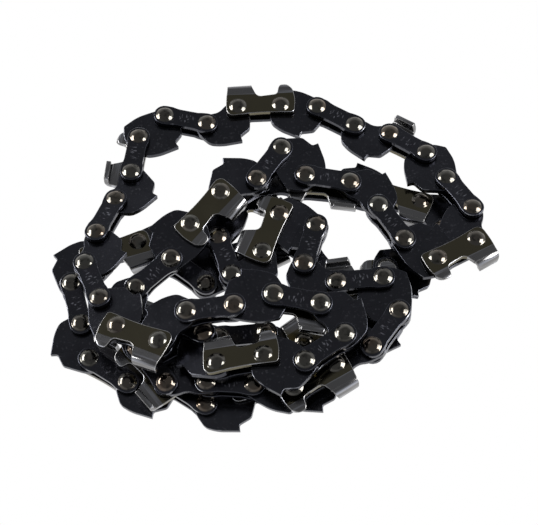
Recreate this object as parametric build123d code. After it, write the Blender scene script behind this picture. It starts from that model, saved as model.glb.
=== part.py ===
from build123d import *
import math
import os

import numpy as np

# Driving dimensions, in millimetres.
SIDE_SPACING = 10.27  # rivet to rivet in a cutter or a tie strap
DRIVE_SPACING = 8.78  # rivet to rivet in a drive link
DRIVE_THICK = 1.3  # the gauge of the bar groove
PLATE_THICK = 1.1
SIDE_PLAY = 0.35  # gap between a drive link and each side plate
SHANK_RADIUS = 1.85
HOLE_PLAY = 0.1  # least gap between a rivet and its hole in the drive link
HEAD_RADIUS = 2.3
HEAD_CROWN = 1.55  # radius of the flat on top of a rivet head
HEAD_HEIGHT = 0.5
END_RADIUS = 3.2  # rounded ends of the side plates
STRAP_HALF_WIDTH = 2.9
DRIVE_END_RADIUS = 3.2
DRIVE_BACK = 2.7  # back edge of a drive link above its rivet line
TANG_DEPTH = 8.8  # tip of the tang below the rivet line
TANG_HEEL = 1.9  # rear corner of the tang behind the rear rivet
TANG_BELLY = 0.4  # lower corner of the tang ahead of the rear rivet
CUTTER_FOOT = 3.1  # lower edge of a cutter below its rivet line
CUTTER_HEEL = 3.1  # cutter behind its rear rivet
CUTTER_TOE = 4.0  # cutter ahead of its front rivet
TOP_HEIGHT = 6.5  # cutting edge above the rivet line
TOP_LENGTH = 6.4  # top plate along the chain
TOP_REAR = 1.5  # top plate behind the rear rivet
TOP_FALL = 0.3  # top plate lower at its rear
TOP_THICK = 0.8
TOP_REACH = 3.0  # top plate from the outer face across the chain
GAUGE_DROP = 0.9  # depth gauge below the cutting edge
GAUGE_WIDTH = 3.6
GAUGE_LEAN = 0.9  # top of the depth gauge behind the toe
GULLET_FLOOR = 2.6  # above the rivet line
TOE_CUT = 1.6  # corner off the toe
HEEL_CUT = 1.0  # corner off the heel
HEEL_TOP = 1.5  # upper corner of the heel above the rivet line
GAUGE_FOOT = 1.2  # front corner of the depth gauge above the rivet line
GAUGE_SLOPE = 0.6  # rear edge of the depth gauge, from its top to its foot
GULLET_RISE = 0.8  # gullet floor higher at the depth gauge
GULLET_REAR = 1.0  # gullet floor ahead of the cutting edge
EDGE_RAKE = 0.3  # cutting edge ahead of the underside of the top plate
# Discs that stand for the parts of a link in the heap: place along, place above the rivet line, radius.
DRIVE_PADS = [
    (0.25 * DRIVE_SPACING, -5.0, 3.0),
    (0.45 * DRIVE_SPACING, -7.0, TANG_DEPTH - 7.0),
    (0.8 * DRIVE_SPACING, -4.0, 2.8),
    (0.5 * DRIVE_SPACING, 0.0, 2.9),
]
TOP_PADS = [(0.3, 4.6, 2.2), (3.2, 4.6, 2.2)]
GAUGE_PADS = [(SIDE_SPACING + 1.5, 3.6, 2.2)]
LAYER_GAP = 0.2  # between strands that lie on each other
NEAR_LINKS = 4  # links this close along the chain are held apart by their own rivets
SETTLE_STEPS = 600
SAG_STEP = 0.01  # sinking in one step
TURN_STEPS = 20  # steps between two looks at how the links lean
CONTACT_ROUNDS = 4
UPPER_SHARE = 0.6  # part of a lift that the upper of two strands takes
STIFFNESS = 0.05  # how far a bend out of the plane springs back in one step
SHANK_SIDES = 5
HEAD_SIDES = 7
DRIVE_GROUP = 3  # drive links in one node

# The loop as it lies, one row for each side link in running order: its kind, the place of its
# middle on the floor plan in millimetres and its heading in degrees. Later links lie on earlier.
LEFT, RIGHT, TIE = "left_cutter", "right_cutter", "tie_strap"
LAY = [
    (RIGHT, -23.0, -15.5, 338),
    (TIE, -6.0, -16.0, 5),
    (LEFT, 11.0, -13.5, 36),
    (TIE, 11.0, 1.0, 128),
    (RIGHT, -3.5, 5.5, 200),
    (TIE, -18.0, 0.0, 145),
    (LEFT, -35.0, 6.0, 198),
    (TIE, -43.5, -8.0, 287),
    (RIGHT, -35.0, -24.5, 330),
    (TIE, -17.0, -29.0, 335),
    (LEFT, 0.5, -28.0, 12),
    (TIE, 16.0, -20.5, 45),
    (RIGHT, 25.0, -7.5, 72),
    (TIE, 37.0, 5.0, 50),
    (LEFT, 31.5, 20.0, 160),
    (TIE, 10.5, 22.0, 171),
    (RIGHT, -6.5, 18.0, 219),
    (TIE, -10.0, 0.5, 290),
    (LEFT, 0.5, 6.5, 69),
    (TIE, 9.0, 3.5, 249),
    (RIGHT, 20.5, -6.5, 7),
    (TIE, 25.0, -18.5, 232),
    (LEFT, 10.0, -28.5, 207),
    (TIE, -8.0, -29.5, 175),
    (RIGHT, -25.0, -25.0, 128),
    (TIE, -18.5, -17.0, 335),
    (LEFT, -6.0, -26.5, 6),
    (TIE, 12.0, -24.5, 36),
    (RIGHT, 6.0, -13.5, 168),
    (TIE, -12.5, -15.5, 187),
    (LEFT, -27.5, -21.0, 162),
    (TIE, -39.5, -6.0, 116),
    (TIE, -37.0, 12.0, 67),
    (RIGHT, -31.0, 30.0, 80),
    (TIE, -19.5, 40.0, 357),
    (LEFT, -2.5, 43.5, 5),
    (TIE, 15.5, 41.0, 332),
    (RIGHT, 32.5, 33.0, 326),
    (TIE, 44.0, 17.5, 303),
    (LEFT, 42.0, 2.0, 207),
    (TIE, 27.5, 9.0, 123),
    (RIGHT, 13.5, 20.0, 170),
    (TIE, -0.5, 23.0, 234),
    (LEFT, -14.5, 11.0, 229),
    (TIE, -25.0, -2.5, 226),
]
SETS = len(LAY)
LINKS = 2 * SETS  # side links and drive links in turn
# The closing links come down through the heap: link, and the link that each is laid after.
LAID_AFTER = {LINKS - 2: 57, LINKS - 1: 13}
# Drive links that lean within their side play where tangs cross: link, degrees its tang is raised.
TANG_LEAN = {35: -2, 37: 2, 47: -3, 51: 2, 77: -4, 79: 3}

# Levels across the chain, measured from the middle plane of the drive links.
INNER_FACE = DRIVE_THICK / 2 + SIDE_PLAY
OUTER_FACE = INNER_FACE + PLATE_THICK
HEAD_TOP = OUTER_FACE + HEAD_HEIGHT


def spacing(link):
    return SIDE_SPACING if link % 2 == 0 else DRIVE_SPACING


def unit(rows):
    return rows / np.linalg.norm(rows, axis=-1, keepdims=True)


def planned_rivets():
    """Rivet places straight from the plan, before the link lengths are made exact."""
    rivets = np.zeros((LINKS, 3))
    for row, (_, x, y, heading) in enumerate(LAY):
        turn = math.radians(heading)
        reach = np.array([math.cos(turn), math.sin(turn)]) * SIDE_SPACING / 2
        rivets[2 * row, :2] = np.array([x, y]) - reach
        rivets[2 * row + 1, :2] = np.array([x, y]) + reach
    rivets[:, 2] = HEAD_TOP
    return rivets


def true_lengths(rivets):
    """Move the rivets as little as possible so that every link has its own length."""
    want = np.array([spacing(link) for link in range(LINKS)])
    following = np.roll(np.arange(LINKS), -1)
    for _ in range(12):
        span = rivets[following] - rivets
        length = np.linalg.norm(span, axis=1)
        way = span / length[:, None]
        slope = np.zeros((LINKS, LINKS, 3))
        for link in range(LINKS):
            slope[link, link] -= way[link]
            slope[link, following[link]] += way[link]
        flat = slope.reshape(LINKS, -1)
        pull = np.linalg.solve(flat @ flat.T, want - length)
        rivets = rivets + (flat.T @ pull).reshape(LINKS, 3)
    return rivets


def link_frames(rivets, rivet_axes):
    """Forward, left and rivet-axis directions of every link, with neighbours nearly in line."""
    forward = unit(np.roll(rivets, -1, axis=0) - rivets)
    axes = rivet_axes
    for _ in range(60):
        blend = axes + np.roll(axes, 1, axis=0) + np.roll(axes, -1, axis=0)
        blend = blend - forward * np.sum(blend * forward, axis=1, keepdims=True)
        axes = unit(blend)
    return forward, np.cross(axes, forward), axes


def leaned_frames(rivets):
    """Forward and rivet-axis directions of every link, with the leaning drive links turned."""
    forward, left, axes = link_frames(rivets, np.tile([0.0, 0.0, 1.0], (LINKS, 1)))
    for link, lean in TANG_LEAN.items():
        turn = math.radians(lean)
        axes[link] = axes[link] * math.cos(turn) + left[link] * math.sin(turn)
    return forward, axes


def contact_pads():
    """Discs that stand for each link in the heap: link, place along, left and up, radius, half height."""
    pads = []
    top_mid = OUTER_FACE - TOP_REACH / 2
    gauge_mid = OUTER_FACE - PLATE_THICK / 2
    for link in range(LINKS):
        if link % 2 == 1:
            for along, left, radius in DRIVE_PADS:
                pads.append((link, along, left, 0.0, radius, DRIVE_THICK / 2))
            continue
        for along in (0.0, SIDE_SPACING):
            pads.append((link, along, 0.0, 0.0, HEAD_RADIUS, HEAD_TOP))
            pads.append((link, along, 0.0, 0.0, END_RADIUS, OUTER_FACE))
        pads.append((link, SIDE_SPACING / 2, 0.0, 0.0, STRAP_HALF_WIDTH, OUTER_FACE))
        kind = LAY[link // 2][0]
        if kind != TIE:
            side = 1.0 if kind == LEFT else -1.0
            for along, left, radius in TOP_PADS:
                pads.append((link, along, left, side * top_mid, radius, TOP_REACH / 2))
            for along, left, radius in GAUGE_PADS:
                pads.append((link, along, left, side * gauge_mid, radius, PLATE_THICK / 2))
    return pads


def lay_order(link):
    """Place in the laying order, half a step on where a link is laid out of turn."""
    return LAID_AFTER[link] + 0.5 if link in LAID_AFTER else link


def meeting_pads(pads, rivets):
    """Pairs of pads that overlap on the plan, lower one first, leaving out near neighbours."""
    forward = unit(np.roll(rivets, -1, axis=0)[:, :2] - rivets[:, :2])
    left = np.stack([-forward[:, 1], forward[:, 0]], axis=1)
    links = np.array([pad[0] for pad in pads])
    shift = np.array([pad[1:3] for pad in pads])
    radii = np.array([pad[4] for pad in pads])
    spots = rivets[links, :2] + forward[links] * shift[:, :1] + left[links] * shift[:, 1:]
    between = np.linalg.norm(spots[:, None] - spots[None], axis=2)
    apart = np.abs(links[:, None] - links[None])
    apart = np.minimum(apart, LINKS - apart)
    meet = (between < radii[:, None] + radii[None]) & (apart >= NEAR_LINKS)
    order = np.array([lay_order(link) for link in links])
    pairs = np.argwhere(meet & (order[:, None] < order[None]))
    return pairs


def settle(rivets):
    """Let the chain sag onto the floor and onto the strands below it."""
    pads = contact_pads()
    links = np.array([pad[0] for pad in pads])
    along = np.array([pad[1] for pad in pads])
    aside = np.array([pad[2] for pad in pads])
    above = np.array([pad[3] for pad in pads])
    halves = np.array([pad[5] for pad in pads])
    lengths = np.array([spacing(link) for link in links])
    share = along / lengths
    pairs = meeting_pads(pads, rivets)
    lower, upper = pairs[:, 0], pairs[:, 1]
    clear = halves[lower] + halves[upper] + LAYER_GAP
    ends = (links + 1) % LINKS
    axes = np.tile([0.0, 0.0, 1.0], (LINKS, 1))
    heights = rivets[:, 2].copy()
    for step in range(SETTLE_STEPS):
        if step % TURN_STEPS == 0:
            rivets[:, 2] = heights
            forward, left, axes = link_frames(rivets, axes)
            lean = left[links, 2] * aside + axes[links, 2] * above
        heights = heights - SAG_STEP
        bend = np.roll(heights, 2) - 4 * np.roll(heights, 1) + 6 * heights
        bend = bend - 4 * np.roll(heights, -1) + np.roll(heights, -2)
        heights = heights - STIFFNESS * bend
        for _ in range(CONTACT_ROUNDS):
            spots = heights[links] * (1 - share) + heights[ends] * share + lean
            short = np.maximum(clear - (spots[upper] - spots[lower]), 0)
            lift = np.zeros(LINKS)
            count = np.full(LINKS, 1e-9)
            for pad, sign in ((upper, UPPER_SHARE), (lower, UPPER_SHARE - 1)):
                hit = short > 0
                np.add.at(lift, links[pad[hit]], sign * short[hit])
                np.add.at(lift, ends[pad[hit]], sign * short[hit])
                np.add.at(count, links[pad[hit]], 1)
                np.add.at(count, ends[pad[hit]], 1)
            heights = heights + lift / count
            heights = np.maximum(heights, HEAD_TOP)
    rivets[:, 2] = heights
    return rivets, float(np.max(short))


def prism(points, low, high):
    """Flat plate with the given outline between two levels."""
    outline = make_face(Polyline(*points, close=True))
    return Pos(0, 0, low) * extrude(outline, amount=high - low)


def strap_outline():
    """Tie strap with eight-sided ends round its two rivets."""
    flat = END_RADIUS * math.tan(math.pi / 8)
    front = SIDE_SPACING + END_RADIUS
    shoulder = END_RADIUS - (STRAP_HALF_WIDTH - flat)
    return [
        (-END_RADIUS, -flat),
        (-END_RADIUS + shoulder, -STRAP_HALF_WIDTH),
        (front - shoulder, -STRAP_HALF_WIDTH),
        (front, -flat),
        (front, flat),
        (front - shoulder, STRAP_HALF_WIDTH),
        (-END_RADIUS + shoulder, STRAP_HALF_WIDTH),
        (-END_RADIUS, flat),
    ]


def drive_outline():
    """Drive link: rounded ends, straight back, and a tang with a hooked tip."""
    flat = DRIVE_END_RADIUS * math.tan(math.pi / 8)
    front = DRIVE_SPACING + DRIVE_END_RADIUS
    return [
        (-DRIVE_END_RADIUS, flat),
        (-DRIVE_END_RADIUS, -flat),
        (-TANG_HEEL, -0.6 * TANG_DEPTH),
        (TANG_BELLY, -0.81 * TANG_DEPTH),
        (0.54 * DRIVE_SPACING, -TANG_DEPTH),
        (0.62 * DRIVE_SPACING, -0.82 * TANG_DEPTH),
        (0.95 * DRIVE_SPACING, -0.74 * TANG_DEPTH),
        (front, -flat),
        (front, flat),
        (front - flat, DRIVE_BACK),
        (-DRIVE_END_RADIUS + flat, DRIVE_BACK),
    ]


def cutter_outline():
    """Cutter plate: foot, depth gauge at the front, gullet, and the tab under the top plate."""
    toe = SIDE_SPACING + CUTTER_TOE
    gauge_top = TOP_HEIGHT - GAUGE_DROP
    gauge_front = toe - GAUGE_LEAN
    return [
        (-CUTTER_HEEL + HEEL_CUT, -CUTTER_FOOT),
        (toe - TOE_CUT, -CUTTER_FOOT),
        (toe, -CUTTER_FOOT + TOE_CUT),
        (toe, GAUGE_FOOT),
        (gauge_front, gauge_top),
        (gauge_front - GAUGE_WIDTH + GAUGE_SLOPE, gauge_top),
        (gauge_front - GAUGE_WIDTH, GULLET_FLOOR + GULLET_RISE),
        (TOP_LENGTH - TOP_REAR + GULLET_REAR, GULLET_FLOOR),
        (TOP_LENGTH - TOP_REAR, TOP_HEIGHT),
        (-TOP_REAR, TOP_HEIGHT - TOP_FALL),
        (-CUTTER_HEEL, HEEL_TOP),
        (-CUTTER_HEEL, -CUTTER_FOOT + HEEL_CUT),
    ]


def top_plate_profile():
    """Top plate seen from the side, falling towards its rear."""
    front = TOP_LENGTH - TOP_REAR
    return [
        (-TOP_REAR, TOP_HEIGHT - TOP_FALL - TOP_THICK),
        (front - EDGE_RAKE, TOP_HEIGHT - TOP_THICK),
        (front, TOP_HEIGHT),
        (-TOP_REAR, TOP_HEIGHT - TOP_FALL),
    ]


def rivet():
    """Rivet on the chain's middle plane: shank and two crowned heads."""
    shank = extrude(RegularPolygon(SHANK_RADIUS, SHANK_SIDES), amount=OUTER_FACE, both=True)
    taper = math.degrees(math.atan((HEAD_RADIUS - HEAD_CROWN) / HEAD_HEIGHT))
    crown = extrude(RegularPolygon(HEAD_RADIUS, HEAD_SIDES), amount=HEAD_HEIGHT, taper=taper)
    head = Pos(0, 0, OUTER_FACE) * crown
    return shank + head + mirror(head, about=Plane.XY)


def upper_plate(points):
    return prism(points, INNER_FACE, OUTER_FACE)


def cutter_plate():
    """Cutter as it stands on the upper side: plate and folded top plate."""
    return upper_plate(cutter_outline()) + prism(top_plate_profile(), OUTER_FACE - TOP_REACH, OUTER_FACE)


def side_link(kind):
    """Two side plates peened together by two rivets, as one rigid piece."""
    strap = upper_plate(strap_outline())
    cutter = cutter_plate()
    upper = cutter if kind == LEFT else strap
    lower = mirror(cutter if kind == RIGHT else strap, about=Plane.XY)
    pins = rivet() + Pos(SIDE_SPACING, 0, 0) * rivet()
    return upper + lower + pins


def drive_link():
    hole_radius = (SHANK_RADIUS + HOLE_PLAY) / math.cos(math.pi / SHANK_SIDES)
    body = prism(drive_outline(), -DRIVE_THICK / 2, DRIVE_THICK / 2)
    hole = extrude(RegularPolygon(hole_radius, SHANK_SIDES), amount=DRIVE_THICK, both=True)
    return body - hole - Pos(DRIVE_SPACING, 0, 0) * hole


def place(shape, origin, forward, axis):
    """The one solid of a link, moved to its place in the heap."""
    plane = Plane(origin=tuple(origin), x_dir=tuple(forward), z_dir=tuple(axis))
    return shape.solid().moved(plane.location)


def laid_links():
    """Every link as a solid in its place, in running order, and the name of its kind."""
    rivets, _ = settle(true_lengths(planned_rivets()))
    rivets = true_lengths(rivets)
    forward, axes = leaned_frames(rivets)
    models = {kind: side_link(kind) for kind in (LEFT, RIGHT, TIE)}
    drive = drive_link()
    placed = []
    for link in range(LINKS):
        model = drive if link % 2 else models[LAY[link // 2][0]]
        placed.append(place(model, rivets[link], forward[link], axes[link]))
    return placed


def named_nodes(placed):
    """Nodes by name: each side link by itself, drive links in short runs."""
    nodes = {}
    numbers = {LEFT: 0, RIGHT: 0, TIE: 0}
    for row, (kind, _, _, _) in enumerate(LAY):
        numbers[kind] += 1
        nodes[f"{kind}_{numbers[kind]:02d}"] = [placed[2 * row]]
    drives = placed[1::2]
    for first in range(0, SETS, DRIVE_GROUP):
        nodes[f"drive_links_{first // DRIVE_GROUP + 1:02d}"] = drives[first:first + DRIVE_GROUP]
    return nodes


if __name__ == "__main__":
    laid = laid_links()
    box = Compound(laid).bounding_box()
    middle = box.center()
    to_origin = Pos(-middle.X, -middle.Y, -box.min.Z)
    os.makedirs("parts", exist_ok=True)
    for name, solids in named_nodes([to_origin * solid for solid in laid]).items():
        node = solids[0] if len(solids) == 1 else Compound(solids)
        export_step(node, f"parts/{name}.step")
    print("loop", round(box.size.X, 1), round(box.size.Y, 1), round(box.size.Z, 1))
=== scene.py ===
import math
import random

import bmesh
import bpy
import numpy as np
from bpy.props import FloatProperty, FloatVectorProperty, PointerProperty
from mathutils import Matrix, Vector


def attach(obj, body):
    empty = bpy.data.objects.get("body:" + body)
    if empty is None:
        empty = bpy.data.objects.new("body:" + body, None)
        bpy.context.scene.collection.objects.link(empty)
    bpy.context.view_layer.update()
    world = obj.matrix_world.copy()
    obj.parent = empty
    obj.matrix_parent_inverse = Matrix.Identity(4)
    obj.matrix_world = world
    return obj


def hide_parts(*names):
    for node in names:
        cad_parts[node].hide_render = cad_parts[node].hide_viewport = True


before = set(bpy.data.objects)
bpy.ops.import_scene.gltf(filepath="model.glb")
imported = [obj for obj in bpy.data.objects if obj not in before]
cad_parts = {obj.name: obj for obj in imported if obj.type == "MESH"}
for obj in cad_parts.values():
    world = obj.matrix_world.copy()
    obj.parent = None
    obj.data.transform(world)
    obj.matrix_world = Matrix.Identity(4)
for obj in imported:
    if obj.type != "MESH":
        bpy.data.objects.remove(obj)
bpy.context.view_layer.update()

bl_info = {
    "name": "Saw Chain Loop",
    "version": (1, 0, 0),
    "blender": (4, 5, 0),
    "location": "View3D > Sidebar > Saw Chain",
    "description": "Dresses the packed links of a closed saw chain that lies in a heap",
    "category": "Add Mesh",
}

MM = 0.001
PHOTO_WIDTH = 538  # pixels across the picture
ROUND_STEPS = 5  # segments in a rounded corner
RIVET_STEPS = 24  # segments round a rivet
DOME_STEPS = 8  # rings in a rivet head
SPECK_SHARE = 0.4  # specks on the plates are this much as bright as the stamping
RIM_SHARE = 0.94  # rim of a rivet head, inside its turned lip
SHOULDER_POWER = 3  # a rivet head is flat in the middle and falls away to its rim
BEND_STEPS = 4  # segments in the fold of a top plate
GROUND_LEVEL = 3.2 * MM  # cutters are ground bright above this height over the rivet line
EDGE_RAKE = math.radians(28)  # cutting edge across the top plate
SHARP_ANGLE = 0.9  # edges that turn more than this, in radians, are rounded
WELD = 0.001 * MM  # corners closer than this are one
BLANK_WELD = 0.01 * MM  # the same, for corners that meet in the outline of a blank
CROWN_DEPTH = 0.02 * MM  # corners this near the highest level belong to a rivet crown
LIP_DROP = 0.05 * MM  # turned lip of a rivet head, sunk in its plate
SEAT_DROP = 0.15 * MM  # underside of a rivet head, sunk in its plate
EYE_ROUND = 0.96  # rounding of a strap's ends, as a share of its eye
NECK_SHARE = 0.45  # a strap narrows over this share of its eye
NECK_ROUND = 0.5  # rounding where a strap starts to narrow
WAIST_ROUND = 0.4  # rounding where it reaches its waist
CLOUD_SCALE = 160  # clouds of colour in the metal, to the metre
SMEAR_SCALE = 420  # uneven polish, to the metre
GRAIN_SCALE = 1500  # fine unevenness, to the metre
GRAIN_DEPTH = 0.05 * MM  # height of that unevenness
STREAK_SCALE = (60, 1100, 1100)  # streaks on the top plates, along, across and through, to the metre
STROKE_SCALE = (2600, 900, 900)  # worn strokes on the straps, to the metre
STROKE_TURN = math.radians(35)
LAMP_DISTANCE = 0.40  # metres from the point that the camera looks at
FLOOR_REACH = 2.0  # metres from the middle to an edge of the floor
TIE_NODES = sorted(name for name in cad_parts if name.startswith("tie_strap"))
LEFT_NODES = sorted(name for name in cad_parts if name.startswith("left_cutter"))
RIGHT_NODES = sorted(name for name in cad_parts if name.startswith("right_cutter"))
DRIVE_NODES = sorted(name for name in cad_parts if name.startswith("drive_links"))


def length(name, millimetres, description):
    """Property for a length that is written in millimetres."""
    metres = millimetres * MM
    return FloatProperty(name=name, description=description, default=metres, unit="LENGTH", precision=5)


def colour(name, default, description):
    """Property for a linear colour."""
    return FloatVectorProperty(
        name=name, description=description, default=default, subtype="COLOR", size=3, min=0, max=1
    )


class ChainSizes(bpy.types.PropertyGroup):
    """Sizes of the links. Spacings and thicknesses are those of the solids, outlines are finer."""

    side_spacing: length("Side spacing", 10.27, "Rivet to rivet in a cutter or a tie strap")
    drive_spacing: length("Drive spacing", 8.78, "Rivet to rivet in a drive link")
    drive_thick: length("Drive link thickness", 1.3, "Gauge of the bar groove")
    plate_thick: length("Plate thickness", 1.1, "Cutters and tie straps")
    side_play: length("Side play", 0.35, "Gap between a drive link and each side plate")
    shank_radius: length("Shank radius", 1.85, "Rivet between its heads")
    head_radius: length("Head radius", 2.2, "Rivet head")
    head_height: length("Head height", 0.75, "Flat crown of a rivet head above its plate")
    strap_eye: length("Strap eye", 2.6, "Rounded ends of the tie straps")
    waist: length("Strap waist", 2.25, "Half width of a tie strap between its rivets")
    drive_eye: length("Drive link eye", 2.8, "Rounded ends of the drive links")
    drive_back: length("Drive link back", 2.5, "Back edge above the rivet line")
    back_round: length("Back round", 2.1, "Rounding where the back meets an eye")
    eye_drop: length("Eye drop", 1.2, "Eyes of a drive link end this far below the rivet line")
    back_dip: length("Back dip", 0.9, "Hollow in the back of a plain drive link")
    guard_rise: length("Guard rise", 5.4, "Raised back of a drive link ahead of a cutter")
    tang_depth: length("Tang depth", 8.2, "Tip of the tang below the rivet line")
    cutter_foot: length("Cutter foot", 2.8, "Lower edge of a cutter below its rivet line")
    foot_hollow: length("Foot hollow", 0.8, "Shallow hollow in the lower edge of a cutter")
    cutter_heel: length("Cutter heel", 2.8, "Cutter behind its rear rivet")
    cutter_toe: length("Cutter toe", 3.6, "Cutter ahead of its front rivet")
    top_height: length("Top height", 6.5, "Cutting edge above the rivet line")
    top_length: length("Top length", 6.1, "Top plate along the chain")
    top_rear: length("Top rear", 2.4, "Top plate behind the rear rivet")
    top_reach: length("Top reach", 3.0, "Top plate across the chain")
    top_fall: length("Top fall", 0.3, "Top plate lower at its rear")
    fold_radius: length("Fold radius", 0.45, "Inside of the bend under the top plate")
    gauge_drop: length("Gauge drop", 1.1, "Depth gauge below the cutting edge")
    gauge_setback: length("Gauge setback", 0.7, "Depth gauge behind the tip of the toe")
    gauge_width: length("Gauge width", 3.6, "Depth gauge along the chain")
    edge_round: length("Edge round", 0.14, "Rounding of the punched edges")


class ChainFinishes(bpy.types.PropertyGroup):
    """Colours of the finishes."""

    black_steel: colour("Black steel", (0.053, 0.054, 0.063), "Blackened drive links and tie straps")
    bronze: colour("Bronze plate", (0.130, 0.117, 0.078), "Flat side of the cutters")
    top_plate: colour("Top plate", (0.21, 0.207, 0.207), "Hard chromed top plates")
    cutter_edge: colour("Cutter edge", (0.26, 0.255, 0.25), "Punched edges of the cutters")
    worn_edge: colour("Worn edge", (0.055, 0.057, 0.068), "Rubbed edges of the punched plates")
    bare_steel: colour("Bare steel", (0.55, 0.56, 0.60), "Where an edge is rubbed bright")
    rivet: colour("Rivet", (0.135, 0.131, 0.116), "Polished rivet heads")
    stamping: colour("Stamping", (0.36, 0.36, 0.40), "Worn flecks in the middle of the straps")
    floor: colour("Floor", (0.85, 0.85, 0.85), "Plain pale floor")


class ChainView(bpy.types.PropertyGroup):
    """Camera and lamps."""

    distance: length("Camera distance", 340, "From the point that the camera looks at")
    elevation: FloatProperty(
        name="Elevation", description="Camera above the floor", default=math.radians(64), subtype="ANGLE"
    )
    focal_pixels: FloatProperty(name="Focal length", description="In pixels of the picture", default=1500)
    look_x: length("Look at X", -0.5, "Point that the camera looks at")
    look_y: length("Look at Y", -4.4, "Point that the camera looks at")
    look_z: length("Look at Z", 5.9, "Point that the camera looks at")
    left_power: FloatProperty(name="Left lamp", description="Watts", default=1.6)
    right_power: FloatProperty(name="Right lamp", description="Watts", default=1.6)


def sizes():
    """Sizes as set in the scene."""
    return bpy.context.scene.chain_sizes


def finishes():
    """Colours as set in the scene."""
    return bpy.context.scene.chain_finishes


# Where the links lie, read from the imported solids.


def upward(normal):
    """The direction or its opposite, whichever points up."""
    return np.array(normal) * math.copysign(1, normal[2])


def place_matrix(origin, left, axis):
    """Link frame with x forward from the rear rivet, y left and z along the rivets."""
    forward = np.cross(left, axis)
    matrix = Matrix.Identity(4)
    for column, direction in enumerate((forward, left, axis, origin)):
        for row in range(3):
            matrix[row][column] = direction[row]
    return matrix


def farthest_aside(corners, start, along, axis):
    """Unit direction across the chain towards the corner farthest from the rivet line."""
    away = corners - start
    away = away - np.outer(away @ along, along) - np.outer(away @ axis, axis)
    longest = away[np.argmax(np.linalg.norm(away, axis=1))]
    return longest / np.linalg.norm(longest)


def side_link_place(node):
    """Frame of a side link, from its rivet crowns and the corner of its top plate."""
    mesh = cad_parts[node].data
    axis = upward(max(mesh.polygons, key=lambda face: face.area).normal)
    corners = np.unique(np.round([vert.co for vert in mesh.vertices], 7), axis=0)
    levels = corners @ axis
    top = levels.max()
    middle = (top + levels.min()) / 2
    crowns = corners[levels > top - CROWN_DEPTH]
    spread = crowns - crowns.mean(axis=0)
    sense = spread @ spread[np.argmax(np.linalg.norm(spread, axis=1))]
    ends = [crowns[sense < 0].mean(axis=0), crowns[sense > 0].mean(axis=0)]
    ends = [end - axis * (top - middle) for end in ends]
    along = (ends[1] - ends[0]) / np.linalg.norm(ends[1] - ends[0])
    if node in TIE_NODES:
        return place_matrix(ends[0], np.cross(axis, along), axis)
    left = farthest_aside(corners, ends[0], along, axis)
    forward = np.cross(left, axis)
    rear = min(ends, key=lambda end: end @ forward)
    return place_matrix(rear, left, axis)


def solids_of(node):
    """Corners and face normal of each separate solid in a node."""
    bm = bmesh.new()
    bm.from_mesh(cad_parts[node].data)
    bmesh.ops.remove_doubles(bm, verts=bm.verts[:], dist=WELD)
    left_over = set(bm.verts)
    found = []
    while left_over:
        reached = [left_over.pop()]
        for vert in reached:
            for edge in vert.link_edges:
                other = edge.other_vert(vert)
                if other in left_over:
                    left_over.remove(other)
                    reached.append(other)
        faces = {face for vert in reached for face in vert.link_faces}
        normal = max(faces, key=lambda face: face.calc_area()).normal
        found.append((np.array([vert.co for vert in reached]), upward(normal)))
    bm.free()
    return found


def drive_link_places(side_places):
    """Frames of the drive links, each hung on the two rivets that run through its holes."""
    chain = sizes()
    reach = Vector((chain.side_spacing, 0, 0))
    rivets = np.array([point for place in side_places for point in (place.translation, place @ reach)])
    places = []
    for node in DRIVE_NODES:
        for corners, axis in solids_of(node):
            levels = corners @ axis
            middle = (levels.max() + levels.min()) / 2
            near = rivets[np.abs(rivets @ axis - middle) < chain.drive_thick]
            gaps = np.linalg.norm(near[:, None] - corners[None], axis=2).min(axis=1)
            inside = np.linalg.norm(near - corners.mean(axis=0), axis=1) < chain.drive_spacing
            own = near[inside][np.argsort(np.abs(gaps[inside] - chain.shank_radius))[:2]]
            along = (own[1] - own[0]) / np.linalg.norm(own[1] - own[0])
            left = -farthest_aside(corners, own[0], along, axis)
            forward = np.cross(left, axis)
            rear = min(own, key=lambda end: end @ forward)
            places.append(place_matrix(rear, left, axis))
    return places


# Shapes of the links, in the link frame.


def plate_blank(corners):
    """Flat face through the corners, given as x, y and the length that each is rounded over."""
    bm = bmesh.new()
    verts = [bm.verts.new((x, y, 0)) for x, y, _ in corners]
    bm.faces.new(verts)
    for vert, (_, _, cut) in zip(verts, corners):
        if cut > 0:
            rounding = dict(segments=ROUND_STEPS, profile=0.5, affect="VERTICES", material=-1)
            bmesh.ops.bevel(bm, geom=[vert], offset=cut, **rounding)
    bmesh.ops.remove_doubles(bm, verts=bm.verts[:], dist=BLANK_WELD)
    return bm


def punch(bm, low, high):
    """Give a blank its thickness between two levels and round its punched edges."""
    bmesh.ops.solidify(bm, geom=bm.faces[:], thickness=high - low)
    lowest = min(vert.co.z for vert in bm.verts)
    bmesh.ops.translate(bm, verts=bm.verts[:], vec=(0, 0, low - lowest))
    bmesh.ops.recalc_face_normals(bm, faces=bm.faces[:])
    sharp = [edge for edge in bm.edges if edge.is_manifold and edge.calc_face_angle() > SHARP_ANGLE]
    rounded = bmesh.ops.bevel(
        bm, geom=sharp, offset=sizes().edge_round, segments=2, profile=0.5, affect="EDGES", material=-1
    )
    for face in rounded["faces"]:
        face.material_index = 1
        face.smooth = True


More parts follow.
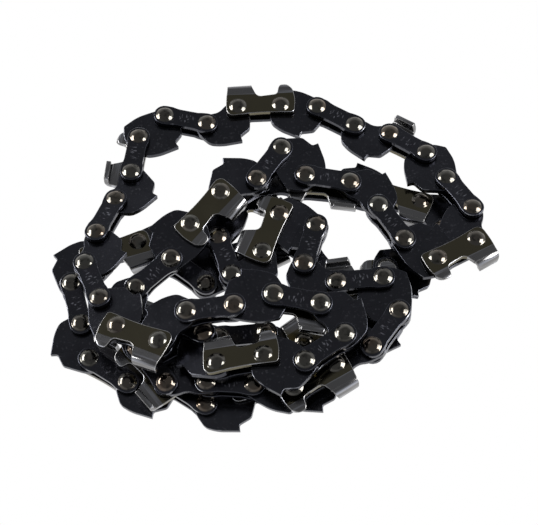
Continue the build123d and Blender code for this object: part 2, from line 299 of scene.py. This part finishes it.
def strap_shape():
    """Tie strap above the drive links: two round eyes and a slight waist."""
    chain = sizes()
    eye = chain.strap_eye
    neck = eye * NECK_SHARE
    front_waist = chain.side_spacing - eye
    lower_edge = [
        (-eye, -eye, eye * EYE_ROUND),
        (eye - neck, -eye, eye * NECK_ROUND),
        (eye, -chain.waist, eye * WAIST_ROUND),
        (front_waist, -chain.waist, eye * WAIST_ROUND),
        (front_waist + neck, -eye, eye * NECK_ROUND),
        (chain.side_spacing + eye, -eye, eye * EYE_ROUND),
    ]
    upper_edge = [(x, -y, cut) for x, y, cut in reversed(lower_edge)]
    bm = plate_blank(lower_edge + upper_edge)
    inner = chain.drive_thick / 2 + chain.side_play
    punch(bm, inner, inner + chain.plate_thick)
    return bm


def drive_shape(guard):
    """Drive link: round eyes, a curved tang with a hooked tip, and a dipped back or a guard's ramp."""
    chain = sizes()
    eye = chain.drive_eye
    pitch = chain.drive_spacing
    deep = chain.tang_depth
    back = chain.drive_back
    rise = chain.guard_rise
    corners = [
        (-eye, back, chain.back_round),
        (-eye, -chain.eye_drop, 1.0 * MM),
        (-1.9 * MM, -0.57 * deep, 0.9 * MM),  # heel of the tang
        (0.4 * MM, -0.78 * deep, 1.2 * MM),  # belly
        (0.57 * pitch, -deep, 0.1 * MM),  # tip
        (0.61 * pitch, -0.82 * deep, 0.4 * MM),  # hook ahead of the tip
        (0.95 * pitch, -0.75 * deep, 0.5 * MM),  # toe
        (pitch + eye, -chain.eye_drop, 1.4 * MM),
    ]
    if guard:
        corners += [
            (pitch + eye, 1.6 * MM, 1.4 * MM),  # foot of the ramp
            (0.84 * pitch, 0.69 * rise, 1.2 * MM),
            (0.50 * pitch, 0.93 * rise, 1.4 * MM),
            (0.3 * MM, rise, 0.3 * MM),  # top of the ramp, beside the depth gauge
        ]
    else:
        corners += [
            (pitch + eye, back, chain.back_round),
            (0.75 * pitch, back, 0.9 * MM),
            (0.50 * pitch, back - chain.back_dip, 1.2 * MM),
            (0.25 * pitch, back, 0.9 * MM),
        ]
    bm = plate_blank(corners)
    punch(bm, -chain.drive_thick / 2, chain.drive_thick / 2)
    return bm


def fold_top(bm, fold_start):
    """Fold the tab of a cutter blank over towards the middle of the chain."""
    chain = sizes()
    inner = chain.drive_thick / 2 + chain.side_play
    centre = inner - chain.fold_radius
    neutral = chain.fold_radius + chain.plate_thick / 2
    front = chain.top_length - chain.top_rear
    for vert in bm.verts:
        beyond = vert.co.y - fold_start
        if beyond <= 0:
            continue
        radius = vert.co.z - centre
        angle = min(beyond / neutral, math.pi / 2)
        straight = max(beyond - neutral * math.pi / 2, 0)
        fall = chain.top_fall * (front - vert.co.x) / chain.top_length * math.sin(angle)
        vert.co.y = fold_start + radius * math.sin(angle) - fall
        vert.co.z = centre + radius * math.cos(angle) - straight


def cutter_shape(side):
    """Cutter on the upper (1) or lower (-1) side: foot, depth gauge, gullet and folded top plate."""
    chain = sizes()
    inner = chain.drive_thick / 2 + chain.side_play
    outer = inner + chain.plate_thick
    fold_start = chain.top_height - chain.fold_radius - chain.plate_thick
    neutral = chain.fold_radius + chain.plate_thick / 2
    flat = chain.top_reach - chain.plate_thick - chain.fold_radius
    blank_top = fold_start + neutral * math.pi / 2 + flat
    toe = chain.side_spacing + chain.cutter_toe
    gauge_top = chain.top_height - chain.gauge_drop
    gauge_front = toe - chain.gauge_setback
    gauge_rear = gauge_front - chain.gauge_width
    front = chain.top_length - chain.top_rear
    foot = -chain.cutter_foot
    corners = [
        (-chain.cutter_heel, foot, 1.9 * MM),
        (chain.side_spacing / 2, foot + chain.foot_hollow, 3.0 * MM),
        (toe - 0.4 * MM, foot + 0.4 * MM, 0.9 * MM),
        (toe, 1.4 * MM, 1.2 * MM),
        (gauge_front, gauge_top, 1.6 * MM),
        (gauge_rear + 0.5 * MM, gauge_top, 0.7 * MM),
        (gauge_rear, 3.0 * MM, 0.7 * MM),  # floor of the gullet behind the gauge
        (front + 1.1 * MM, 2.5 * MM, 1.0 * MM),  # floor of the gullet under the edge
        (front, fold_start, 0),  # corner of the cutting edge
        (front - flat * math.tan(EDGE_RAKE), blank_top, 0.15 * MM),
        (-chain.top_rear + 0.3 * MM, blank_top, 0.4 * MM),
        (-chain.top_rear, fold_start - 0.5 * MM, 0.4 * MM),
        (-chain.cutter_heel, 1.7 * MM, 1.3 * MM),
    ]
    bm = plate_blank(corners)
    bend = [fold_start + neutral * math.pi / 2 * step / BEND_STEPS for step in range(BEND_STEPS + 1)]
    for level in [GROUND_LEVEL] + bend:
        every = bm.verts[:] + bm.edges[:] + bm.faces[:]
        bmesh.ops.bisect_plane(bm, geom=every, plane_co=(0, level, 0), plane_no=(0, 1, 0))
    punch(bm, inner, outer)
    for face in bm.faces:
        height = face.calc_center_median().y
        if face.material_index == 0 and height > GROUND_LEVEL:
            face.material_index = 2
            face.smooth = height > fold_start
    fold_top(bm, fold_start)
    if side < 0:
        bmesh.ops.scale(bm, vec=(1, 1, -1), verts=bm.verts[:])
    bmesh.ops.recalc_face_normals(bm, faces=bm.faces[:])
    return bm


def rivet_shape():
    """Rivet on the middle plane: shank and two domed heads with a turned lip."""
    chain = sizes()
    plate_top = chain.drive_thick / 2 + chain.side_play + chain.plate_thick
    lip = chain.head_radius
    crown = plate_top + chain.head_height
    rim = lip * RIM_SHARE
    head = []
    for step in range(DOME_STEPS + 1):
        share = step / DOME_STEPS
        head.append((rim * share, crown - chain.head_height * share ** SHOULDER_POWER))
    head += [(lip, plate_top - LIP_DROP), (chain.shank_radius, plate_top - SEAT_DROP)]
    profile = head + [(radius, -level) for radius, level in reversed(head)]
    bm = bmesh.new()
    verts = [bm.verts.new((radius, 0, level)) for radius, level in profile]
    edges = [bm.edges.new(pair) for pair in zip(verts, verts[1:])]
    turning = dict(cent=(0, 0, 0), axis=(0, 0, 1), angle=2 * math.pi, steps=RIVET_STEPS, use_merge=True)
    bmesh.ops.spin(bm, geom=verts + edges, **turning)
    bmesh.ops.remove_doubles(bm, verts=bm.verts[:], dist=WELD)
    bmesh.ops.recalc_face_normals(bm, faces=bm.faces[:])
    for face in bm.faces:
        face.smooth = True
    return bm


def laid_piece(name, shapes_and_places, materials, nodes=()):
    """One object with a copy of each shape at each of its places, and a tone of its own for each copy."""
    chance = random.Random(name)
    whole = bmesh.new()
    tone = whole.verts.layers.float.new("link_tone")
    local = whole.verts.layers.float_vector.new("link_place")
    for shape, places in shapes_and_places:
        single = bpy.data.meshes.new(name)
        shape.to_mesh(single)
        shape.free()
        for place in places:
            first = len(whole.verts)
            whole.from_mesh(single)
            whole.verts.ensure_lookup_table()
            fresh = whole.verts[first:]
            value = chance.random()
            for vert in fresh:
                vert[tone] = value
                vert[local] = vert.co
            bmesh.ops.transform(whole, matrix=place, verts=fresh)
        bpy.data.meshes.remove(single)
    mesh = bpy.data.meshes.new(name)
    whole.to_mesh(mesh)
    whole.free()
    for material in materials:
        mesh.materials.append(material)
    piece = bpy.data.objects.new(name, mesh)
    bpy.context.scene.collection.objects.link(piece)
    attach(piece, "root")
    if nodes:
        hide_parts(*nodes)
    return piece


# Finishes.


class Nodes:
    """Short way to add nodes and links to a material."""

    def __init__(self, material):
        material.use_nodes = True
        self.tree = material.node_tree
        self.shader = self.tree.nodes["Principled BSDF"]

    def add(self, kind, inputs=None, **settings):
        """New node with its inputs set or linked."""
        node = self.tree.nodes.new(kind)
        for key, value in settings.items():
            setattr(node, key, value)
        for key, value in (inputs or {}).items():
            self.feed(node.inputs[key], value)
        return node

    def feed(self, socket, value):
        """Set a socket to a constant, or link another socket to it."""
        if isinstance(value, bpy.types.NodeSocket):
            self.tree.links.new(value, socket)
        else:
            socket.default_value = value

    def ramp(self, factor, low, high):
        """Factor stretched so that low becomes 0 and high becomes 1."""
        node = self.add("ShaderNodeMapRange", {"Value": factor, "From Min": low, "From Max": high})
        return node.outputs["Result"]

    def mix(self, factor, first, second):
        """Two colours blended by the factor."""
        node = self.add("ShaderNodeMix", data_type="RGBA")
        for socket, value in zip((node.inputs[0], node.inputs[6], node.inputs[7]), (factor, first, second)):
            self.feed(socket, value)
        return node.outputs[2]

    def noise(self, place, scale, detail=3.0):
        """Noise between 0 and 1."""
        node = self.add("ShaderNodeTexNoise", {"Vector": place, "Scale": scale, "Detail": detail})
        return node.outputs["Fac"]


def scaled(tint, share):
    """A colour made lighter or darker."""
    return tuple(part * share for part in tint)


class Metal(Nodes):
    """Metal with clouded colour, uneven polish and a tone of its own for each link."""

    def __init__(self, name, base, lighter, rough):
        self.material = bpy.data.materials.new(name)
        super().__init__(self.material)
        self.place = self.add("ShaderNodeTexCoord").outputs["Object"]
        tone = self.of_link("link_tone", "Fac")
        cloud = self.ramp(self.noise(self.place, CLOUD_SCALE, 4.0), 0.35, 0.75)
        blend = self.add("ShaderNodeMath", {0: cloud, 1: tone}, operation="MULTIPLY").outputs[0]
        self.tint = self.mix(blend, (*base, 1), (*lighter, 1))
        smear = self.noise(self.place, SMEAR_SCALE)
        spread = {"Value": smear, "To Min": rough * 0.75, "To Max": rough * 1.35}
        self.feed(self.shader.inputs["Roughness"], self.add("ShaderNodeMapRange", spread).outputs["Result"])
        self.shader.inputs["Metallic"].default_value = 1.0
        self.feed(self.shader.inputs["Base Color"], self.tint)

    def of_link(self, name, output):
        """What the mesh stores for each link under that name."""
        return self.add("ShaderNodeAttribute", attribute_name=name).outputs[output]

    def overlay(self, mask, tint):
        """Another colour where the mask is 1."""
        self.tint = self.mix(mask, self.tint, (*tint, 1))
        self.feed(self.shader.inputs["Base Color"], self.tint)

    def dots(self, scale, low, high, tint):
        """Specks of another colour where fine noise peaks."""
        self.overlay(self.ramp(self.noise(self.place, scale, 2.0), low, high), tint)

    def grain(self, strength, scale=GRAIN_SCALE):
        """Fine unevenness of the surface."""
        height = self.noise(self.place, scale, 4.0)
        bump = self.add("ShaderNodeBump", {"Strength": strength, "Distance": GRAIN_DEPTH, "Height": height})
        self.feed(self.shader.inputs["Normal"], bump.outputs["Normal"])

    def streaks(self, low, high, tint):
        """Long strokes of another colour along every link."""
        local = self.of_link("link_place", "Vector")
        tone = self.of_link("link_tone", "Fac")
        drawn = self.add("ShaderNodeMapping", {"Vector": local})
        drawn.inputs["Scale"].default_value = STREAK_SCALE
        fine = {"Vector": drawn.outputs[0], "Scale": 1.0, "Detail": 2.0, "W": tone}
        strokes = self.add("ShaderNodeTexNoise", fine, noise_dimensions="4D")
        self.overlay(self.ramp(strokes.outputs["Fac"], low, high), tint)

    def flecks(self, middle, half_length, half_width, tint):
        """Worn strokes in an oval field of every link."""
        local = self.of_link("link_place", "Vector")
        tone = self.of_link("link_tone", "Fac")
        field = self.add("ShaderNodeMapping", {"Vector": local})
        field.vector_type = "TEXTURE"
        field.inputs["Location"].default_value = (middle, 0, 0)
        field.inputs["Scale"].default_value = (half_length, half_width, 1)
        flat = self.add("ShaderNodeVectorMath", {0: field.outputs[0], 1: (1, 1, 0)}, operation="MULTIPLY")
        reach = self.add("ShaderNodeVectorMath", {0: flat.outputs[0]}, operation="LENGTH").outputs["Value"]
        fine = {"Scale": 1.0, "Detail": 1.0, "W": tone}
        strokes = self.add("ShaderNodeTexNoise", fine, noise_dimensions="4D")
        stretch = self.add("ShaderNodeMapping", {"Vector": local})
        stretch.inputs["Rotation"].default_value = (0, 0, STROKE_TURN)
        stretch.inputs["Scale"].default_value = STROKE_SCALE
        self.feed(strokes.inputs["Vector"], stretch.outputs[0])
        sharp = self.ramp(strokes.outputs["Fac"], 0.60, 0.68)
        inside = self.ramp(reach, 1.0, 0.7)
        worn = self.add("ShaderNodeMath", {0: sharp, 1: inside}, operation="MULTIPLY")
        self.overlay(worn.outputs[0], tint)


def shared(name, make):
    """The material of that name, made the first time it is asked for."""
    return bpy.data.materials.get(name) or make(name).material


def black_steel(name):
    """Blackened steel of the drive links."""
    metal = Metal(name, finishes().black_steel, scaled(finishes().black_steel, 1.5), rough=0.20)
    metal.dots(scale=1500, low=0.60, high=0.76, tint=scaled(finishes().stamping, SPECK_SHARE))
    metal.grain(strength=0.20)
    return metal


def flecked_steel(name):
    """Blackened steel with worn strokes in the middle, for the straps."""
    metal = black_steel(name)
    middle = sizes().side_spacing / 2
    metal.flecks(middle, half_length=2.4 * MM, half_width=1.3 * MM, tint=finishes().stamping)
    return metal


def worn_edge(name):
    """Rubbed edges of the blackened plates."""
    metal = Metal(name, finishes().worn_edge, scaled(finishes().worn_edge, 1.6), rough=0.25)
    metal.dots(scale=240, low=0.62, high=0.72, tint=finishes().bare_steel)
    return metal


def cutter_edge(name):
    """Punched edges of the cutters."""
    metal = Metal(name, finishes().cutter_edge, scaled(finishes().cutter_edge, 1.6), rough=0.28)
    metal.dots(scale=240, low=0.55, high=0.70, tint=finishes().bare_steel)
    return metal


def bronze_plate(name):
    """Flat side of the cutters."""
    metal = Metal(name, finishes().bronze, scaled(finishes().bronze, 1.25), rough=0.13)
    metal.grain(strength=0.05)
    return metal


def chromed_top(name):
    """Streaked chrome of the top plates and depth gauges."""
    metal = Metal(name, finishes().top_plate, scaled(finishes().top_plate, 1.3), rough=0.19)
    metal.streaks(low=0.52, high=0.70, tint=finishes().bare_steel)
    metal.grain(strength=0.05)
    return metal


def polished_rivet(name):
    """Mottled, polished rivet heads."""
    tint = finishes().rivet
    warmer = (tint[0] * 1.3, tint[1] * 0.95, tint[2] * 0.75)
    metal = Metal(name, tint, warmer, rough=0.12)
    metal.dots(scale=900, low=0.52, high=0.75, tint=scaled(tint, 0.35))
    metal.grain(strength=0.10, scale=700)
    return metal


def finish(*makers):
    """Materials of a piece, in the order of its material slots."""
    return [shared(make.__name__, make) for make in makers]


# Operators, one for each group of like pieces and one for the stage.


def all_side_places():
    """Frame of every side link by its node."""
    return {node: side_link_place(node) for node in TIE_NODES + LEFT_NODES + RIGHT_NODES}


def lower_side(places):
    """The same places with the rivet axis turned over, for plates under the drive links."""
    flip = Matrix.Rotation(math.pi, 4, "X")
    return [place @ flip for place in places]


class CHAIN_OT_tie_straps(bpy.types.Operator):
    """Lay the tie straps on both sides of the drive links, also opposite the cutters"""

    bl_idname = "chain.tie_straps"
    bl_label = "Tie straps"

    def execute(self, context):
        places = all_side_places()
        ties = [places[node] for node in TIE_NODES]
        above = ties + [places[node] for node in RIGHT_NODES]
        below = lower_side(ties + [places[node] for node in LEFT_NODES])
        shapes = [(strap_shape(), above + below)]
        laid_piece("tie_straps", shapes, finish(flecked_steel, worn_edge), TIE_NODES)
        return {"FINISHED"}


class CHAIN_OT_cutters(bpy.types.Operator):
    """Lay the left and right cutters"""

    bl_idname = "chain.cutters"
    bl_label = "Cutters"

    def execute(self, context):
        finishing = finish(bronze_plate, cutter_edge, chromed_top)
        for name, nodes, side in (("left_cutters", LEFT_NODES, 1), ("right_cutters", RIGHT_NODES, -1)):
            places = [side_link_place(node) for node in nodes]
            laid_piece(name, [(cutter_shape(side), places)], finishing, nodes)
        return {"FINISHED"}


class CHAIN_OT_drive_links(bpy.types.Operator):
    """Lay the drive links between the side plates"""

    bl_idname = "chain.drive_links"
    bl_label = "Drive links"

    def execute(self, context):
        sides = all_side_places()
        ahead = Vector((sizes().side_spacing, 0, 0))
        toes = [sides[node] @ ahead for node in LEFT_NODES + RIGHT_NODES]
        guards, plain = [], []
        for place in drive_link_places(list(sides.values())):
            nearest = min((place.translation - toe).length for toe in toes)
            (guards if nearest < sizes().shank_radius else plain).append(place)
        shapes = [(drive_shape(True), guards), (drive_shape(False), plain)]
        laid_piece("drive_links", shapes, finish(black_steel, worn_edge), DRIVE_NODES)
        return {"FINISHED"}


class CHAIN_OT_rivets(bpy.types.Operator):
    """Set a rivet at both ends of every side link"""

    bl_idname = "chain.rivets"
    bl_label = "Rivets"

    def execute(self, context):
        ahead = Matrix.Translation((sizes().side_spacing, 0, 0))
        places = list(all_side_places().values())
        shapes = [(rivet_shape(), places + [place @ ahead for place in places])]
        laid_piece("rivets", shapes, finish(polished_rivet))
        return {"FINISHED"}


def soft_lamp(name, target, direction, width, height, power):
    """Area lamp that faces the target from the given direction."""
    lamp = bpy.data.lights.new(name, "AREA")
    lamp.shape = "RECTANGLE"
    lamp.size = width
    lamp.size_y = height
    lamp.energy = power
    holder = bpy.data.objects.new(name, lamp)
    away = Vector(direction).normalized()
    holder.location = target + away * LAMP_DISTANCE
    holder.rotation_euler = away.to_track_quat("Z", "Y").to_euler()
    bpy.context.scene.collection.objects.link(holder)


class CHAIN_OT_stage(bpy.types.Operator):
    """Set the floor, the lamps and the camera"""

    bl_idname = "chain.stage"
    bl_label = "Stage"

    def execute(self, context):
        scene = context.scene
        view = scene.chain_view
        target = Vector((view.look_x, view.look_y, view.look_z))
        self.lay_floor(scene)
        self.light_world(scene)
        left = dict(direction=(-0.86, 0.23, 0.45), width=0.28, height=0.15, power=view.left_power)
        right = dict(direction=(0.79, -0.01, 0.61), width=0.22, height=0.22, power=view.right_power)
        soft_lamp("left_lamp", target, **left)
        soft_lamp("right_lamp", target, **right)
        camera = bpy.data.cameras.new("camera")
        camera.sensor_fit = "HORIZONTAL"
        camera.lens = camera.sensor_width * view.focal_pixels / PHOTO_WIDTH
        camera.clip_start = 0.01
        away = Vector((0, -math.cos(view.elevation), math.sin(view.elevation)))
        holder = bpy.data.objects.new("camera", camera)
        holder.location = target + away * view.distance
        holder.rotation_euler = away.to_track_quat("Z", "Y").to_euler()
        scene.collection.objects.link(holder)
        scene.camera = holder
        scene.view_settings.view_transform = "Standard"
        return {"FINISHED"}

    def lay_floor(self, scene):
        """Wide pale floor that is plain white to the camera and in reflections."""
        bm = bmesh.new()
        bmesh.ops.create_grid(bm, x_segments=1, y_segments=1, size=FLOOR_REACH)
        mesh = bpy.data.meshes.new("floor")
        bm.to_mesh(mesh)
        bm.free()
        floor = bpy.data.objects.new("floor", mesh)
        scene.collection.objects.link(floor)
        material = bpy.data.materials.new("floor")
        nodes = Nodes(material)
        nodes.shader.inputs["Base Color"].default_value = (*finishes().floor, 1)
        nodes.shader.inputs["Roughness"].default_value = 0.9
        rays = nodes.add("ShaderNodeLightPath").outputs
        seen = rays["Is Camera Ray"]
        for ray in ("Is Glossy Ray", "Is Transmission Ray"):
            seen = nodes.add("ShaderNodeMath", {0: seen, 1: rays[ray]}, operation="MAXIMUM").outputs[0]
        white = nodes.add("ShaderNodeEmission", {"Color": (1, 1, 1, 1), "Strength": 1.0}).outputs[0]
        shown = nodes.add("ShaderNodeMixShader", {0: seen, 1: nodes.shader.outputs[0], 2: white})
        nodes.feed(nodes.tree.nodes["Material Output"].inputs["Surface"], shown.outputs[0])
        mesh.materials.append(material)

    def light_world(self, scene):
        """Soft studio light: pale walls all round under a dim ceiling."""
        world = bpy.data.worlds.new("studio")
        world.use_nodes = True
        tree = world.node_tree
        back = tree.nodes["Background"]
        back.inputs["Color"].default_value = (0.93, 0.95, 1.0, 1)
        way = tree.nodes.new("ShaderNodeTexCoord")
        parts = tree.nodes.new("ShaderNodeSeparateXYZ")
        level = tree.nodes.new("ShaderNodeMapRange")
        tree.links.new(way.outputs["Generated"], parts.inputs[0])
        tree.links.new(parts.outputs["Z"], level.inputs["Value"])
        tree.links.new(level.outputs["Result"], back.inputs["Strength"])
        for socket, value in (("From Min", 0.35), ("From Max", 0.70), ("To Min", 0.65), ("To Max", 0.20)):
            level.inputs[socket].default_value = value
        scene.world = world


OPERATORS = (CHAIN_OT_drive_links, CHAIN_OT_tie_straps, CHAIN_OT_cutters, CHAIN_OT_rivets, CHAIN_OT_stage)


class CHAIN_PT_panel(bpy.types.Panel):
    """Lists the pieces of the chain"""

    bl_idname = "CHAIN_PT_panel"
    bl_label = "Saw Chain"
    bl_space_type = "VIEW_3D"
    bl_region_type = "UI"
    bl_category = "Saw Chain"

    def draw(self, context):
        for operator in OPERATORS:
            self.layout.operator(operator.bl_idname)


GROUPS = {"chain_sizes": ChainSizes, "chain_finishes": ChainFinishes, "chain_view": ChainView}


def register():
    for group in GROUPS.values():
        bpy.utils.register_class(group)
    for operator in OPERATORS:
        bpy.utils.register_class(operator)
    bpy.utils.register_class(CHAIN_PT_panel)
    for name, group in GROUPS.items():
        setattr(bpy.types.Scene, name, PointerProperty(type=group))


def unregister():
    for name in GROUPS:
        delattr(bpy.types.Scene, name)
    bpy.utils.unregister_class(CHAIN_PT_panel)
    for operator in reversed(OPERATORS):
        bpy.utils.unregister_class(operator)
    for group in reversed(GROUPS.values()):
        bpy.utils.unregister_class(group)


def main():
    register()
    bpy.ops.chain.drive_links()
    bpy.ops.chain.tie_straps()
    bpy.ops.chain.cutters()
    bpy.ops.chain.rivets()
    bpy.ops.chain.stage()


if __name__ == "__main__":
    main()
